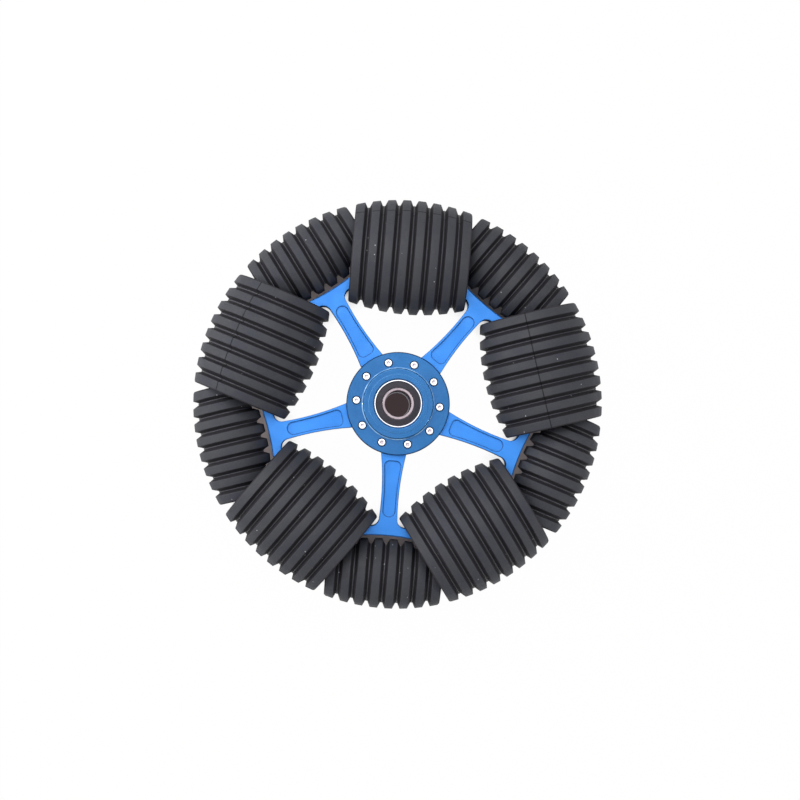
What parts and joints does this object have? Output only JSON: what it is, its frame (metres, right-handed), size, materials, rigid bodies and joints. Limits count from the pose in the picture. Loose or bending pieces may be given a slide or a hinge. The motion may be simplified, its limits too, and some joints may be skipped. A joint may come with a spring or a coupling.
{
  "type": "omni wheel",
  "caption": "Single-row omni wheel: barrel rollers of two sizes alternate round a spoked star, small ends nested in large hollow ends, on a bearing hub.",
  "frame": {"origin": "centre of the wheel: on the axis of the bore, midway between the wheel's two faces", "axes": "+Z along the bore, out of the face that has the bolt heads; +Y through the middle of large roller 1"},
  "size_m": [0.3998, 0.4, 0.1119],
  "materials": {
    "star": "satin",
    "hub": "satin",
    "tyre": "matte",
    "core": "matte",
    "bush": "satin",
    "axle": "satin",
    "bolt": "polished",
    "bearing_steel": "polished",
    "cage": "satin",
    "seal": "matte"
  },
  "bodies": {
    "inner_race": {"inner_ring_front": "bearing_steel", "inner_ring_back": "bearing_steel", "race_spacer": "axle"},
    "wheel": {"star_front": "star", "star_back": "star", "hub_flange_front": "hub", "hub_flange_back": "hub", "hub_bolts": "bolt", "hub_nuts": "bolt", "outer_ring_front": "bearing_steel", "outer_ring_back": "bearing_steel", "bearing_seals_front": "seal", "bearing_seals_back": "seal", "large_axle_1": "axle", "large_axle_2": "axle", "large_axle_3": "axle", "large_axle_4": "axle", "large_axle_5": "axle", "small_axle_1": "axle", "small_axle_2": "axle", "small_axle_3": "axle", "small_axle_4": "axle", "small_axle_5": "axle"},
    "ball_cages": {"ball_cage_front": "cage", "ball_cage_back": "cage", "bearing_balls_front": "bearing_steel", "bearing_balls_back": "bearing_steel"},
    "large_roller_1": {"large_tyre_1": "tyre", "large_core_1": "core", "large_bushes_1": "bush"},
    "large_roller_2": {"large_tyre_2": "tyre", "large_core_2": "core", "large_bushes_2": "bush"},
    "large_roller_3": {"large_tyre_3": "tyre", "large_core_3": "core", "large_bushes_3": "bush"},
    "large_roller_4": {"large_tyre_4": "tyre", "large_core_4": "core", "large_bushes_4": "bush"},
    "large_roller_5": {"large_tyre_5": "tyre", "large_core_5": "core", "large_bushes_5": "bush"},
    "small_roller_1": {"small_tyre_1": "tyre", "small_core_1": "core", "small_bushes_1": "bush"},
    "small_roller_2": {"small_tyre_2": "tyre", "small_core_2": "core", "small_bushes_2": "bush"},
    "small_roller_3": {"small_tyre_3": "tyre", "small_core_3": "core", "small_bushes_3": "bush"},
    "small_roller_4": {"small_tyre_4": "tyre", "small_core_4": "core", "small_bushes_4": "bush"},
    "small_roller_5": {"small_tyre_5": "tyre", "small_core_5": "core", "small_bushes_5": "bush"}
  },
  "joints": [
    {"name": "wheel_spin", "type": "hinge", "parent": "inner_race", "child": "wheel", "pos_m": [0, 0, 0], "axis": [0, 0, 1], "continuous": true},
    {"name": "cage_spin", "type": "hinge", "parent": "inner_race", "child": "ball_cages", "pos_m": [0, 0, 0], "axis": [0, 0, 1], "continuous": true},
    {"name": "large_roller_1_spin", "type": "hinge", "parent": "wheel", "child": "large_roller_1", "pos_m": [0, 0.144, 0], "axis": [1, 0, 0], "continuous": true},
    {"name": "large_roller_2_spin", "type": "hinge", "parent": "wheel", "child": "large_roller_2", "pos_m": [-0.13695, 0.0445, 0], "axis": [0.309, 0.9511, 0], "continuous": true},
    {"name": "large_roller_3_spin", "type": "hinge", "parent": "wheel", "child": "large_roller_3", "pos_m": [-0.08464, -0.1165, 0], "axis": [-0.809, 0.5878, 0], "continuous": true},
    {"name": "large_roller_4_spin", "type": "hinge", "parent": "wheel", "child": "large_roller_4", "pos_m": [0.08464, -0.1165, 0], "axis": [-0.809, -0.5878, 0], "continuous": true},
    {"name": "large_roller_5_spin", "type": "hinge", "parent": "wheel", "child": "large_roller_5", "pos_m": [0.13695, 0.0445, 0], "axis": [0.309, -0.9511, 0], "continuous": true},
    {"name": "small_roller_1_spin", "type": "hinge", "parent": "wheel", "child": "small_roller_1", "pos_m": [-0.09757, 0.1343, 0], "axis": [0.809, 0.5878, 0], "continuous": true},
    {"name": "small_roller_2_spin", "type": "hinge", "parent": "wheel", "child": "small_roller_2", "pos_m": [-0.15788, -0.0513, 0], "axis": [-0.309, 0.9511, 0], "continuous": true},
    {"name": "small_roller_3_spin", "type": "hinge", "parent": "wheel", "child": "small_roller_3", "pos_m": [0, -0.166, 0], "axis": [-1, 0, 0], "continuous": true},
    {"name": "small_roller_4_spin", "type": "hinge", "parent": "wheel", "child": "small_roller_4", "pos_m": [0.15788, -0.0513, 0], "axis": [-0.309, -0.9511, 0], "continuous": true},
    {"name": "small_roller_5_spin", "type": "hinge", "parent": "wheel", "child": "small_roller_5", "pos_m": [0.09757, 0.1343, 0], "axis": [0.809, -0.5878, 0], "continuous": true}
  ],
  "couplings": [
    {"joint": "cage_spin", "follows": "wheel_spin", "ratio": 0.6103}
  ]
}
